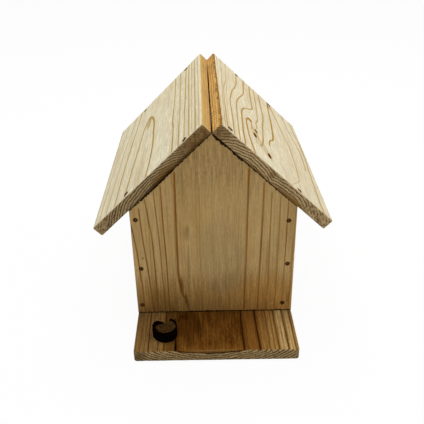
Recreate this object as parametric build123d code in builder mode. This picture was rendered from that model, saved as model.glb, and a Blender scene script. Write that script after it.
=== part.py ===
"""A nailed softwood birdhouse: two gable panels, two side walls and a gable roof on one long floor board.

The floor runs out past the closed gable as a porch, where a slice of a branch stands in its bark.
The entrance hole is in the other gable. Millimetres, +Z up, +Y from the porch towards the entrance.
The origin is the middle of the floor board's underside.
"""

import os
from math import atan2, cos, degrees, sin, tan

from build123d import *

os.makedirs("parts", exist_ok=True)

# Driving dimensions
BOARD = 12.0  # thickness of every board
HOUSE_WIDTH = 160.0
HOUSE_DEPTH = 250.0  # over both gable panels
PORCH = 58.0  # floor in front of the closed gable
EAVE_HEIGHT = 136.0  # outer top edge of the side walls, above the ground
APEX_HEIGHT = 213.0  # top of the gable panels, above the ground
ROOF_WIDTH = {"left": 150.0, "right": 147.0}  # down the slope, as the two boards were cut
ROOF_OVERHANG = 1.0  # past the closed gable; the other end is flush
RIDGE_GAP = 0.1  # between the sharp lower corners of the two roof boards
ENTRANCE_DIAMETER = 32.0
ENTRANCE_ABOVE_FLOOR = 130.0
EDGE_EASE = 0.7  # sanded edges of the boards
PORCH_CORNER = 3.0  # rounded upright corners of the floor board
MOUTH_EASE = 1.5  # bevelled rim of the entrance

# Wire nails, with the head driven just under the wood
NAIL_LENGTH = 32.0
NAIL_RADIUS = 0.8
NAIL_POINT = 2.5
POINT_TAPER = 16.0  # degrees
HEAD_RADIUS = 1.8
HEAD_THICK = 0.8
HEAD_SINK = 0.2
NAIL_CLEARANCE = 0.04
HEAD_SIDES = 12  # the heads and shanks are faceted, because there are many of them
SHANK_SIDES = 8

# Hand-driven nails of the closed gable: across the panel, and height above the ground
FRONT_NAILS = [(-74.5, 125.5), (-73.0, 68.5), (-75.0, 22.5), (72.5, 121.0), (73.5, 71.0), (70.5, 22.0)]
REAR_NAILS = [(-74.0, 124.0), (-73.5, 71.0), (-74.0, 23.0), (74.0, 123.0), (73.0, 70.0), (74.5, 22.0)]
# Roof nails: down the slope from the ridge, and in from the outer face of the gable that they enter
ROOF_NAILS = {
    "left": {"front": [(23.0, 4.0), (103.0, 7.0)], "rear": [(25.5, 8.0), (102.5, 9.0)]},
    "right": {"front": [(12.0, 7.5), (102.0, 4.5)], "rear": [(41.0, 5.0), (100.5, 4.5)]},
}
# Floor nails: along each side wall from the closed gable, and across each gable from the middle
WALL_NAILS_ALONG = [44.0, 125.0, 206.0]
GABLE_NAIL_ACROSS = 36.0

# Slice of branch on the porch
LOG_ACROSS = -50.4  # from the middle of the porch
LOG_FROM_GABLE = 35.0  # in front of the closed gable
BARK_HEIGHT = 12.0
LOG_BELOW_RIM = 0.9  # the sawn face lies under the rim of the bark
SPLIT_MIDDLE = (1.9, 7.9)  # where the bark is open, towards the gable
SPLIT_RADIUS = 3.05
# Outlines from above, as arcs: each runs from one point through the next to the one after
BARK_OUTLINE = [
    (-12.3, 1.0), (-9.4, -5.6), (-1.0, -10.6), (8.0, -8.4), (12.5, -1.0), (11.4, 6.2), (7.2, 11.1),
    (5.2, 10.8), (4.4, 8.9), (2.0, 8.4), (-1.0, 6.4), (-4.6, 7.6), (-8.4, 8.7), (-11.3, 5.6),
]
WOOD_OUTLINE = [
    (-8.9, 0.8), (-6.8, -5.4), (-0.8, -9.3), (6.9, -7.3), (11.2, -0.9), (10.2, 5.4), (7.2, 9.7),
    (5.9, 9.3), (4.5, 7.9), (2.0, 7.3), (-0.9, 5.3), (-3.4, 5.2), (-6.0, 4.4), (-8.0, 2.8),
]

# Derived places
floor_length = HOUSE_DEPTH + PORCH
porch_end = -floor_length / 2
front_face = porch_end + PORCH
rear_face = floor_length / 2
half_width = HOUSE_WIDTH / 2
pitch = atan2(APEX_HEIGHT - EAVE_HEIGHT, half_width)
inner_eave = EAVE_HEIGHT + BOARD * tan(pitch)
roof_start = RIDGE_GAP / 2 / cos(pitch)
entrance_height = BOARD + ENTRANCE_ABOVE_FLOOR
head_seat = HEAD_SINK + HEAD_THICK
sides = {"left": -1, "right": 1}

# Working planes: each faces out of the surface that its nails are driven into
front_plane = Plane(origin=(0, front_face, 0), x_dir=(1, 0, 0), z_dir=(0, -1, 0))
rear_plane = Plane(origin=(0, rear_face, 0), x_dir=(-1, 0, 0), z_dir=(0, 1, 0))
under_plane = Plane(origin=(0, 0, 0), x_dir=(1, 0, 0), z_dir=(0, 0, -1))


def roof_plane(side):
    """The top of a roof board, with X down the slope from the ridge."""
    across = sides[side]
    outward = Vector(across * sin(pitch), 0, cos(pitch))
    downhill = Vector(across * cos(pitch), 0, -sin(pitch))
    return Plane(origin=Vector(0, 0, APEX_HEIGHT) + outward * BOARD, x_dir=downhill, z_dir=outward)


def roof_nail_points(side, ends=("front", "rear")):
    """The nails of one roof board, as points on its roof plane."""
    points = []
    for end in ends:
        for down, inset in ROOF_NAILS[side][end]:
            y = front_face + inset if end == "front" else rear_face - inset
            points.append((down, sides[side] * y))
    return points


def wall_nail_points(side):
    """The nails up through the floor into one side wall, as points on the underside."""
    x = sides[side] * (half_width - BOARD / 2)
    return [(x, -(front_face + along)) for along in WALL_NAILS_ALONG]


def gable_nail_points(middle):
    """The nails up through the floor into one gable, as points on the underside."""
    return [(across * GABLE_NAIL_ACROSS, -middle) for across in sides.values()]


front_middle = front_face + BOARD / 2
rear_middle = rear_face - BOARD / 2
floor_nail_points = gable_nail_points(front_middle) + gable_nail_points(rear_middle)
for side in sides:
    floor_nail_points += wall_nail_points(side)


def wire_nail(sink, room):
    """A wire nail, head up, from a depth below the surface it is driven into and with some room round it."""
    shank_end = NAIL_POINT - NAIL_LENGTH
    with BuildPart() as nail:
        with BuildSketch(Plane.XY.offset(-head_seat)):
            RegularPolygon(HEAD_RADIUS + room, HEAD_SIDES)
        extrude(amount=head_seat - sink)
        with BuildSketch(Plane.XY.offset(shank_end)):
            RegularPolygon(NAIL_RADIUS + room, SHANK_SIDES)
        extrude(amount=-shank_end - head_seat)
        with BuildSketch(Plane.XY.offset(shank_end)):
            RegularPolygon(NAIL_RADIUS + room, SHANK_SIDES)
        extrude(amount=-NAIL_POINT, taper=POINT_TAPER)
    return nail.part


nail = wire_nail(HEAD_SINK, 0)
nail_seat = wire_nail(0, NAIL_CLEARANCE)


def drive_nails(plane, points):
    """Cuts the seats of nails that are driven through a board or come into it through its neighbour."""
    with Locations(plane):
        with Locations(*points):
            add(nail_seat, mode=Mode.SUBTRACT)


def finish(part, name):
    """Names a finished piece and writes its file."""
    part.label = name
    export_step(part, f"parts/{name}.step")


# Floor board, under the walls and out to the porch
with BuildPart() as floor_board:
    with BuildSketch():
        Rectangle(HOUSE_WIDTH, floor_length)
    extrude(amount=BOARD)
    fillet(floor_board.edges().filter_by(Axis.Z), PORCH_CORNER)
    chamfer(floor_board.faces().filter_by(Axis.Z).edges(), EDGE_EASE)
    drive_nails(under_plane, floor_nail_points)
finish(floor_board.part, "floor_board")


# The five-sided outline of a gable panel that stands on the floor
gable_corners = [
    (-half_width, BOARD),
    (half_width, BOARD),
    (half_width, EAVE_HEIGHT),
    (0, APEX_HEIGHT),
    (-half_width, EAVE_HEIGHT),
]


def gable_bores(end):
    """The bores in a gable panel of the roof's nails and of the floor's nails."""
    for side in sides:
        drive_nails(roof_plane(side), roof_nail_points(side, (end,)))
    drive_nails(under_plane, gable_nail_points(front_middle if end == "front" else rear_middle))


# Closed gable above the porch
with BuildPart() as front_panel:
    with BuildSketch(front_plane):
        Polygon(*gable_corners, align=None)
    extrude(amount=-BOARD)
    chamfer(front_panel.edges(), EDGE_EASE)
    drive_nails(front_plane, FRONT_NAILS)
    gable_bores("front")
finish(front_panel.part, "front_panel")

# Gable with the entrance hole
with BuildPart() as rear_panel:
    with BuildSketch(rear_plane):
        Polygon(*gable_corners, align=None)
    extrude(amount=-BOARD)
    chamfer(rear_panel.edges(), EDGE_EASE)
    with Locations(rear_plane):
        with Locations((0, entrance_height)):
            Hole(radius=ENTRANCE_DIAMETER / 2)
    mouth = rear_panel.edges().filter_by(GeomType.CIRCLE)
    chamfer(mouth.filter_by(lambda edge: edge.radius > ENTRANCE_DIAMETER / 4), MOUTH_EASE)
    drive_nails(rear_plane, REAR_NAILS)
    gable_bores("rear")
finish(rear_panel.part, "rear_panel")

# Side walls between the gables, bevelled to the roof
for side, across in sides.items():
    outer = across * half_width
    inner = across * (half_width - BOARD)
    wall_plane = Plane(origin=(0, front_face + BOARD, 0), x_dir=(1, 0, 0), z_dir=(0, -1, 0))
    with BuildPart() as side_wall:
        with BuildSketch(wall_plane):
            with BuildLine():
                Polyline(
                    (outer, BOARD),
                    (inner, BOARD),
                    (inner, inner_eave),
                    (outer, EAVE_HEIGHT),
                    close=True,
                )
            make_face()
        extrude(amount=-(HOUSE_DEPTH - 2 * BOARD))
        chamfer(side_wall.edges(), EDGE_EASE)
        drive_nails(front_plane, [p for p in FRONT_NAILS if p[0] * across > 0])
        drive_nails(rear_plane, [p for p in REAR_NAILS if p[0] * across < 0])
        drive_nails(under_plane, wall_nail_points(side))
    finish(side_wall.part, f"{side}_side_wall")

# Roof boards, square at the ridge so that they meet in a groove; only their lower corners there are sharp
for side, across in sides.items():
    top = roof_plane(side)
    middle = across * (front_face + (HOUSE_DEPTH - ROOF_OVERHANG) / 2)
    with BuildPart() as roof_board:
        with BuildSketch(top):
            with Locations((roof_start, middle)):
                Rectangle(
                    ROOF_WIDTH[side],
                    HOUSE_DEPTH + ROOF_OVERHANG,
                    align=(Align.MIN, Align.CENTER),
                )
        extrude(amount=-BOARD)
        ridge_foot = roof_board.edges().filter_by(Axis.Y).sort_by_distance((0, 0, APEX_HEIGHT))[0]
        chamfer(roof_board.edges().filter_by(lambda edge: edge != ridge_foot), EDGE_EASE)
        drive_nails(top, roof_nail_points(side))
    finish(roof_board.part, f"{side}_roof_board")

# Slice of branch: a ring of bark, split open towards the gable, round the sawn wood
log_place = Plane(origin=(LOG_ACROSS, front_face - LOG_FROM_GABLE, BOARD))


def arcs(outline):
    """Three points for each arc of a closed outline."""
    return zip(outline[::2], outline[1::2], outline[2::2] + outline[:1])


with BuildPart() as log_bark:
    with BuildSketch(log_place):
        with BuildLine():
            for start, through, end in arcs(BARK_OUTLINE):
                ThreePointArc(start, through, end)
        make_face()
        with BuildLine():
            for start, through, end in arcs(WOOD_OUTLINE):
                ThreePointArc(start, through, end)
        make_face(mode=Mode.SUBTRACT)
        with Locations(SPLIT_MIDDLE):
            Circle(SPLIT_RADIUS, mode=Mode.SUBTRACT)
    extrude(amount=BARK_HEIGHT)
finish(log_bark.part, "log_bark")

with BuildPart() as log_slice:
    with BuildSketch(log_place):
        with BuildLine():
            for start, through, end in arcs(WOOD_OUTLINE):
                ThreePointArc(start, through, end)
        make_face()
    extrude(amount=BARK_HEIGHT - LOG_BELOW_RIM)
finish(log_slice.part, "log_slice")

# Nails, one group for each board that they are driven through
nail_groups = {
    "front_panel_nails": (front_plane, FRONT_NAILS),
    "rear_panel_nails": (rear_plane, REAR_NAILS),
    "floor_nails": (under_plane, floor_nail_points),
}
for side in sides:
    nail_groups[f"{side}_roof_nails"] = (roof_plane(side), roof_nail_points(side))
for name, (plane, points) in nail_groups.items():
    with BuildPart() as nails:
        with Locations(plane):
            with Locations(*points):
                add(nail)
    finish(nails.part, name)

print(f"roof pitch {degrees(pitch):.1f} degrees, floor {HOUSE_WIDTH:.0f} by {floor_length:.0f} mm")
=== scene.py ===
import math

import bmesh
import bpy
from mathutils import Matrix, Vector, geometry, noise


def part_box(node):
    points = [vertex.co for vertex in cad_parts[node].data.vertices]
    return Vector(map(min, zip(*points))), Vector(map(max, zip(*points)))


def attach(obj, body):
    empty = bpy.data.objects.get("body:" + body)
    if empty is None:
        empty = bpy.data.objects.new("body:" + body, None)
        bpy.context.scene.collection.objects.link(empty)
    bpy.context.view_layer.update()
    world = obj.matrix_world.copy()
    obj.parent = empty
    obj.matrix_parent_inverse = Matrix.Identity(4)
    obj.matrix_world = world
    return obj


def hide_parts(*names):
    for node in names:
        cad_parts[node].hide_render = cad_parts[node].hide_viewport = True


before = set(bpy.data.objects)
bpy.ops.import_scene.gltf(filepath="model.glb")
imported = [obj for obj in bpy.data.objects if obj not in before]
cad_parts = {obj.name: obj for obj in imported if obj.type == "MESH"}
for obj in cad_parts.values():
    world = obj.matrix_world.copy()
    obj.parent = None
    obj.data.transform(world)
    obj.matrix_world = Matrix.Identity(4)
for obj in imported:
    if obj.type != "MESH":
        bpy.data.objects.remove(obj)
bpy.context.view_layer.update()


# Floor board
# One planed softwood board under the whole house. It runs out in front as the porch, where the brown
# heartwood shows between two strips of pale sapwood. The walls are nailed to it from below.

MM = 0.001
BOARD = 12.0  # thickness of every board, in millimetres


class Shade:
    """One output of a material's nodes. Operators on it add Math nodes."""

    def __init__(self, tree, socket=None):
        self.tree = tree
        self.socket = socket

    def node(self, kind, settings, sockets, output=0):
        """Adds a node: its type, its settings, then the values or links of its sockets."""
        made = self.tree.nodes.new("ShaderNode" + kind)
        for name, value in settings.items():
            if name == "curve":
                line = made.mapping.curves[0]
                while len(line.points) < len(value):
                    line.points.new(1.0, 1.0)
                for point, location in zip(line.points, value):
                    point.location = location
                made.mapping.update()
            else:
                setattr(made, name, value)
        for key, value in sockets.items():
            if isinstance(value, Shade):
                self.tree.links.new(value.socket, made.inputs[key])
            else:
                made.inputs[key].default_value = value
        return Shade(self.tree, made.outputs[output])

    def math(self, operation, *others):
        return self.node("Math", {"operation": operation}, dict(enumerate((self, *others))))

    def __add__(self, other):
        return self.math("ADD", other)

    def __sub__(self, other):
        return self.math("SUBTRACT", other)

    def __mul__(self, other):
        return self.math("MULTIPLY", other)

    def __truediv__(self, other):
        return self.math("DIVIDE", other)

    def __rsub__(self, other):
        return self.node("Math", {"operation": "SUBTRACT"}, {0: other, 1: self})

    def __rtruediv__(self, other):
        return self.node("Math", {"operation": "DIVIDE"}, {0: other, 1: self})

    __radd__ = __add__
    __rmul__ = __mul__

    def __abs__(self):
        return self.math("ABSOLUTE")

    def largest(self, other):
        return self.math("MAXIMUM", other)

    def root(self):
        return self.math("SQRT")

    def rise(self, low, high):
        """0 at low and 1 at high, with a smooth step between; low may be the larger."""
        spans = {"Value": self, "From Min": low, "From Max": high}
        return self.node("MapRange", {"interpolation_type": "SMOOTHSTEP"}, spans)

    def path(self, points):
        """A smooth line through pairs of input and output."""
        ins = [p[0] for p in points]
        outs = [p[1] for p in points]
        spread = max(max(outs) - min(outs), 0.001)
        unit = [((i - ins[0]) / (ins[-1] - ins[0]), (o - min(outs)) / spread) for i, o in points]
        along = (self - ins[0]) / (ins[-1] - ins[0])
        return along.node("FloatCurve", {"curve": unit}, {"Value": along}) * spread + min(outs)

    def mix(self, first, second):
        """A colour from the first to the second, by this value."""
        a = first if isinstance(first, Shade) else (*first, 1.0)
        b = second if isinstance(second, Shade) else (*second, 1.0)
        return self.node("Mix", {"data_type": "RGBA"}, {0: self, 6: a, 7: b}, output=2)


def surface(name):
    """A new material, and the place on the object from which its nodes start."""
    material = bpy.data.materials.new(name)
    material.use_nodes = True
    return material, Shade(material.node_tree).node("TexCoord", {}, {}, "Object")


def coat(material, colour, rough, relief, strength, height, shine):
    """Links a material's colour, roughness and relief to its shader. The height of the relief is in
    millimetres, and shine is how strongly the surface mirrors."""
    shader = material.node_tree.nodes["Principled BSDF"]
    raised = {"Strength": strength, "Distance": height * MM, "Height": relief}
    bump = relief.node("Bump", {}, raised)
    for name, value in (("Base Color", colour), ("Roughness", rough), ("Normal", bump)):
        material.node_tree.links.new(value.socket, shader.inputs[name])
    shader.inputs["Specular IOR Level"].default_value = shine


def new_piece(name, verts, faces):
    """A mesh as a piece of the scene."""
    mesh = bpy.data.meshes.new(name)
    mesh.from_pydata(verts, [], faces)
    piece = bpy.data.objects.new(name, mesh)
    bpy.context.scene.collection.objects.link(piece)
    return piece


def dress(piece, material, slot, *nodes):
    """Gives a piece its material, and puts it in place of its solids."""
    piece.data.materials.append(material)
    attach(piece, "root")
    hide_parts(*nodes)


class Board:
    """A flat board: the middle of its show face, and its directions across, along the grain and inward."""

    def __init__(self, origin, across, along, inward):
        self.origin = Vector(origin) * MM
        self.across = Vector(across).normalized()
        self.along = Vector(along).normalized()
        self.inward = Vector(inward).normalized()

    def point(self, a, b, depth):
        return self.origin + (self.across * a + self.along * b + self.inward * depth) * MM


EDGE_STEP = 2.5  # between points along an edge
ARC_STEPS = 4  # round a corner of the outline


def outline_loop(corners, radius):
    """Points round a convex outline with rounded corners, each with its inward direction."""
    count = len(corners)
    runs = [(Vector(corners[(i + 1) % count]) - Vector(corners[i])).normalized() for i in range(count)]
    turns = [math.acos(max(-1.0, min(1.0, runs[i - 1].dot(runs[i])))) for i in range(count)]
    loop = []
    for i in range(count):
        come = runs[i - 1]
        leave = runs[i]
        inward = Vector((-come.y, come.x))
        middle = Vector(corners[i]) - come * (radius * math.tan(turns[i] / 2)) + inward * radius
        for step in range(ARC_STEPS + 1):
            angle = turns[i] * step / ARC_STEPS
            aim = inward * math.cos(angle) - come * math.sin(angle)
            loop.append((middle - aim * radius, aim))
        after = (i + 1) % count
        start = loop[-1][0]
        end = Vector(corners[after]) - leave * radius * math.tan(turns[after] / 2)
        pieces = max(1, round((end - start).length / EDGE_STEP))
        for step in range(1, pieces):
            loop.append((start.lerp(end, step / pieces), loop[-1][1]))
    return loop


BORE_POINTS = 48
DENT_POINTS = 18
NAIL_SEAT = 1.9  # radius of the dent that a nail head leaves
DENT_RINGS = (NAIL_SEAT - 0.1, NAIL_SEAT, 2.5, 3.6)
SEAT_DEPTH = 0.75
CRUSH_DEPTH = 0.22  # of the wood round the seat
CRUSH_REACH = 0.8
SHOW_SPACING = 3.0  # between points on the show face
BACK_SPACING = 6.0
CLEAR_OF_DENT = 5.0
CLEAR_OF_EDGE = 2.6
SHARP_WEAR = 0.03
SAME_WAY = 0.9  # how closely two directions agree on one edge
# A worn corner, for each millimetre of wear: how far in from the edge, and how far down from the face
WORN_CORNER = [
    (1 - math.sin(math.radians(turn)) ** 1.6, 1 - math.cos(math.radians(turn)) ** 1.6)
    for turn in (0, 20, 42, 66, 90)
]


def plank(
    name, board, corners, nails=(), back_nails=(), chips=(), bore=None, bevel=None, sharp=None,
    ease=0.7, corner=0.9,
):
    """A sanded board with worn edges, as one closed mesh. Nail heads sit in dents of its faces.
    Each chip is a place on the outline, its reach and its depth. bore is the middle and radius of a hole.
    A bevel is the inward direction of a slanted edge, and how far it runs out for each unit of depth.
    sharp is the inward direction of an edge that keeps its corner at the back. ease is how far the edges
    are worn, and corner the radius of the outline's corners."""
    seed = Vector((len(name) * 3.7, len(corners) * 5.1, 0))  # boards wear differently

    def worn_edge(point, aim):
        """The edge at one point of the outline, from the show face to the back: places and depths."""
        spot = Vector((point.x, point.y, 0)) + seed
        wear = ease * (1 + 0.55 * abs(noise.noise(spot * 0.09)) + 0.35 * abs(noise.noise(spot * 0.5)))
        for place, reach, depth in chips:
            wear += depth * math.exp(-((point - Vector(place)).length / reach) ** 2)
        low_wear = ease * (1 + 0.5 * abs(noise.noise(spot * 0.11 + Vector((0, 0, 9)))))
        if sharp and aim.dot(Vector(sharp)) > SAME_WAY:
            low_wear = SHARP_WEAR
        profile = [(wear * inset, wear * depth) for inset, depth in WORN_CORNER]
        wall = BOARD - wear - low_wear
        for share in (0.25, 0.5, 0.75):
            rough = 0.07 * noise.noise(spot * 0.6 + Vector((0, 0, share * 9)))
            profile.append((abs(rough), wear + wall * share))
        profile += [(low_wear * inset, BOARD - low_wear * depth) for inset, depth in reversed(WORN_CORNER)]
        slant = bevel[1] if bevel and aim.dot(Vector(bevel[0])) > SAME_WAY else 0.0
        return [(point + aim * (inset - slant * depth), depth) for inset, depth in profile]

    loops = [outline_loop(corners, corner)]
    if bore:
        middle, radius = bore
        turns = [-2 * math.pi * i / BORE_POINTS for i in range(BORE_POINTS)]
        aims = [Vector((math.cos(t), math.sin(t))) for t in turns]
        loops.append([(Vector(middle) + aim * radius, aim) for aim in aims])
    verts = []
    faces = []
    rims = []
    for loop in loops:
        rows = [worn_edge(point, aim) for point, aim in loop]
        first = len(verts)
        size = len(rows[0])
        for row in rows:
            verts += [board.point(p.x, p.y, depth) for p, depth in row]
        for i in range(len(rows)):
            here = first + i * size
            there = first + (i + 1) % len(rows) * size
            for j in range(size - 1):
                faces.append((here + j, here + j + 1, there + j + 1, there + j))
        rims.append((rows, first, size))

    def inside(p):
        """How far a point lies inside the outline, and outside the bore."""
        gap = 1e9
        for start, end in zip(corners, corners[1:] + corners[:1]):
            side = (Vector(end) - Vector(start)).normalized()
            gap = min(gap, side.cross(p - Vector(start)))
        return min(gap, (p - Vector(bore[0])).length - bore[1]) if bore else gap

    lows = [min(c[i] for c in corners) for i in (0, 1)]
    highs = [max(c[i] for c in corners) for i in (0, 1)]
    for end, spacing, dents in ((0, SHOW_SPACING, nails), (-1, BACK_SPACING, back_nails)):
        points = []
        known = []
        bounds = []
        for rows, first, size in rims:
            bounds.append(list(range(len(points), len(points) + len(rows))))
            points += [row[end][0] for row in rows]
            known += [first + i * size + (end % size) for i in range(len(rows))]
        for a, b in dents:
            points.append(Vector((a, b)))
            for radius in DENT_RINGS:
                for i in range(DENT_POINTS):
                    turn = 2 * math.pi * i / DENT_POINTS
                    points.append(Vector((a + radius * math.cos(turn), b + radius * math.sin(turn))))
        columns = int((highs[0] - lows[0]) / spacing)
        ranks = int((highs[1] - lows[1]) / spacing)
        for i in range(columns + 1):
            for j in range(ranks + 1):
                p = Vector((lows[0] + (i + 0.5 * (j % 2)) * spacing, lows[1] + j * spacing))
                clear = all((p - Vector(dent)).length > CLEAR_OF_DENT for dent in dents)
                if clear and inside(p) > CLEAR_OF_EDGE:
                    points.append(p)
        flat, _, triangles, origins, _, _ = geometry.delaunay_2d_cdt(points, [], bounds, 1, 1e-5)
        index = []
        for p, from_points in zip(flat, origins):
            own = [known[k] for k in from_points if k < len(known)]
            if own:
                index.append(own[0])
                continue
            spot = Vector((p.x, p.y, 0)) + seed
            depth = 0.06 + 0.06 * noise.noise(spot * 0.05)
            for dent in dents:
                away = (p - Vector(dent)).length
                crushed = CRUSH_DEPTH * math.exp(-max(0.0, away - NAIL_SEAT) / CRUSH_REACH)
                depth += SEAT_DEPTH if away < NAIL_SEAT - 0.05 else crushed
            index.append(len(verts))
            verts.append(board.point(p.x, p.y, depth if end == 0 else BOARD - depth))
        for triangle in triangles:
            middle = sum((flat[k] for k in triangle), Vector((0, 0))) / 3
            if not bore or (middle - Vector(bore[0])).length > bore[1]:
                faces.append([index[k] for k in (triangle if end == 0 else reversed(triangle))])
    piece = new_piece(name, verts, faces)
    if board.across.cross(board.along).dot(board.inward) > 0:
        piece.data.flip_normals()
    piece.data.shade_smooth()
    return piece


DARK_SHADE_AND_JOINT = (0.022, 0.01, 0.0035)  # near black: painted shade along the panels' edges under the roof and at their feet, and the dark joint where the roof boards meet
RUST_AND_SHADE = (0.065, 0.024, 0.001)  # wood browned by a nail's rust, with painted shade of the dent round its head
BROAD_PATCH = 20.0  # a stain or patch of painted shade wider than this lies under the lines of the grain
EVERYWHERE = (-200, 200)  # past both sides of every board
EVEN = ((-500, 1.0), (500, 1.0))  # equally rough from end to end


def oval(first, second, middle, size):
    """The square of how far two measures are from the middle of an oval: 1 at its rim."""
    a = (first - middle[0]) / size[0]
    b = (second - middle[1]) / size[1]
    return a * a + b * b


def strongest(masks):
    """The largest of several masks at every place."""
    most = masks[0]
    for mask in masks[1:]:
        most = most.largest(mask)
    return most


class Softwood:
    """The wood of one board, in millimetres across it, along the grain and down from the show face.
    A ring of the tree is followed from the face down into the board, round the pith."""

    def __init__(self, name, board, pith, tones):
        self.material, self.spot = surface(name)
        self.pith = pith
        self.tones = tones
        from_face = self.spot.node("VectorMath", {"operation": "SUBTRACT"}, {0: self.spot, 1: board.origin})
        self.across = self.dot(from_face, board.across / MM)
        self.along = self.dot(from_face, board.along / MM)
        self.depth = self.dot(from_face, board.inward / MM)
        self.fibre = self.grain(1.0, 20, detail=3.0)
        self.thread = self.grain(2.2, 60, shift=2.9, detail=3.0)
        self.streak = self.grain(6, 220, shift=1.3, detail=3.0)
        self.speck = self.grain(0.9, 0.9, shift=2.2)
        self.soil = self.grain(22, 300, shift=9.9, detail=3.0)
        centre, reach = pith
        waver = self.grain(24, 110, shift=3.1) * 1.8 + self.grain(5, 60, shift=7.7) * 0.5
        aside = self.across - centre
        fall = reach - (self.depth - 0.2).largest(0.0)
        beyond = (aside * aside + fall * fall - reach * reach).largest(0.0).root()
        self.traced = aside.math("SIGN") * beyond + centre + waver  # where its ring meets the face

    def dot(self, first, second):
        return self.spot.node("VectorMath", {"operation": "DOT_PRODUCT"}, {0: first, 1: second}, 1)

    def grain(self, wide, long, shift=0.0, detail=2.0):
        """Noise drawn out along the grain: its size across and along the board."""
        drawn = {0: self.across / wide, 1: self.along / long + shift, 2: self.depth / wide}
        spot = self.spot.node("CombineXYZ", {}, drawn)
        return self.spot.node("TexNoise", {}, {"Vector": spot, "Scale": 1.0, "Detail": detail}) - 0.5

    def facing(self, direction):
        """1 where the surface faces along a direction, either way, and 0 where it lies along it."""
        return abs(self.dot(self.spot.node("NewGeometry", {}, {}, "Normal"), direction))

    def late_wood(self, lines):
        """The dark late wood of each year on the face, sharp on one side of its line."""
        masks = []
        for strength, width, points in lines:
            start = points[0][0]
            stop = points[-1][0]
            shown = self.along.rise(start - 1, start + 5) * self.along.rise(stop + 1, stop - 5)
            off = self.traced - self.along.path(points)
            line = off.rise(-width * 1.9, -width * 0.1) * off.rise(width, width * 0.2)
            masks.append(line * shown * strength)
        return strongest(masks)

    def stained_or_shaded(self, colour, stain_or_shade):
        """Lays one patch of staining or painted shade on a colour. Its rim is ragged along the grain."""
        tone, strength, place, size = stain_or_shade
        wide = size[0]
        ragged = min(1.0, 24 / wide, wide / 4)
        frayed = self.thread * 1.3 + self.grain(11, 30, shift=place[0], detail=3.0) * 1.4
        patch = (oval(self.across, self.along, place, size) + frayed * ragged).rise(1.0, 0.0)
        return (patch * strength).mix(colour, tone)

    def face(self, late, stains_and_shade, heart):
        """The show face: early wood, broad patches of staining and painted shade, late wood with faint lines
        between, and small patches of staining and painted shade.
        """
        cloud = self.grain(45, 90, shift=5.2)
        uneven = self.streak * 1.5 + self.thread * 1.2 + cloud * 1.4 + 0.45
        colour = uneven.rise(0.05, 0.95).mix(self.tones["early wood"], self.tones["streaks"])
        if heart:
            colour = heart(self, colour)
        broad = [stain_or_shade for stain_or_shade in stains_and_shade if stain_or_shade[3][0] > BROAD_PATCH]
        for stain_or_shade in broad:
            colour = self.stained_or_shaded(colour, stain_or_shade)
        fine = (self.traced / 3.1 + self.thread * 0.9).math("FRACT")
        faint = fine.rise(0.5, 0.9) * fine.rise(1.0, 0.93) * (self.streak * 2.2 + 0.25).largest(0.0) * 0.7
        rings = (late + faint) * (1.0 + self.fibre * 1.2)
        colour = rings.rise(0.0, 1.0).mix(colour, self.tones["late wood"])
        for stain_or_shade in stains_and_shade:
            if stain_or_shade not in broad:
                colour = self.stained_or_shaded(colour, stain_or_shade)
        return colour

    def end_grain(self, darks_and_shade, core, spacing, middle, reach, fork=0.0, shown=EVERYWHERE):
        """The colour of a sawn end, and its rings. A forked trunk has two hearts, apart by twice the fork.
        Between the two places where they are shown, the rings are clear, and elsewhere the wood is torn."""
        hill = abs(self.across - middle) - fork
        fall = reach - self.depth
        sway = self.grain(15, 300, shift=0.7) * 4.5 + self.grain(4, 300, shift=1.9) * 1.3
        year = (((hill * hill + fall * fall).root() + sway) / spacing).math("FRACT")
        first, last = shown
        clear = self.across.rise(first - 8, first + 12) * self.across.rise(last + 8, last - 12) * 0.75 + 0.25
        fading = (0.95 + self.grain(14, 300, shift=4.6) * 1.3) * clear
        arcs = year.rise(0.5, 0.8) * year.rise(1.0, 0.9) * fading
        torn = self.grain(2.2, 300, shift=6.6, detail=3.0) * (2.8 - clear * 1.7)
        dark = arcs * 1.15 + self.speck * 2.0 + torn + self.soil * 0.6 + 0.29 - clear * 0.15
        sawn = dark.rise(-0.1, 1.05).mix(self.tones["sawn end"], self.tones["end rings"])
        # Darker patches of the end; along the lower edge of a roof end they are painted shade where it sits
        # on the gable
        for tone, strength, place, size in darks_and_shade:
            far = oval(self.across, self.depth, place, size) + self.speck * 1.2 + self.soil
            sawn = (far.rise(1.0, 0.0) * strength).mix(sawn, tone)
        if core:
            half, tone = core
            centre, radius = self.pith
            aside = self.traced - centre
            inside = (half * half - aside * aside) / (2 * abs(radius)) + torn * 0.25
            sawn = inside.rise(-0.2, 0.5).mix(sawn, tone)
            rim = inside.rise(-0.7, -0.1) * inside.rise(1.0, 0.3)
            sawn = rim.mix(sawn, self.tones["late wood"])
        return sawn, arcs

    def sawn_edge(self, tone, mark_tone, marks):
        """The colour of a long edge as the saw left it, and the strokes of the saw's teeth."""
        slanted = self.along * 0.8 + self.depth * 1.1 + self.grain(3, 9, shift=6.0) * 3.0
        stroke = (slanted / 3.4).math("FRACT")
        bite = (0.7 + self.grain(4, 20, shift=9.0) * 2.0) * marks
        tooth = stroke.rise(0.0, 0.5) * stroke.rise(1.0, 0.6) * bite
        band = ((self.depth + self.grain(9, 70, shift=3.3) * 3.0) / 2.9).math("FRACT")
        stripe = band.rise(0.4, 0.85) * band.rise(1.0, 0.9) * (0.7 + self.soil)
        rim = (self.depth + self.speck * 2.0 + self.grain(6, 14, shift=3.9) * 5.0).rise(2.2, 0.4) * marks
        marked = (tooth + rim + stripe * 0.5 + self.streak * 0.8 + self.fibre * 0.6 - 0.02).rise(0.0, 1.0)
        joint = (self.depth + self.speck * 0.8 + self.soil * 2.5).rise(BOARD - 1.0, BOARD - 0.3)
        joint = joint * self.across.rise(30, 20) * self.along.rise(10, 90)
        return joint.mix(marked.mix(tone, mark_tone), DARK_SHADE_AND_JOINT), tooth


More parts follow.
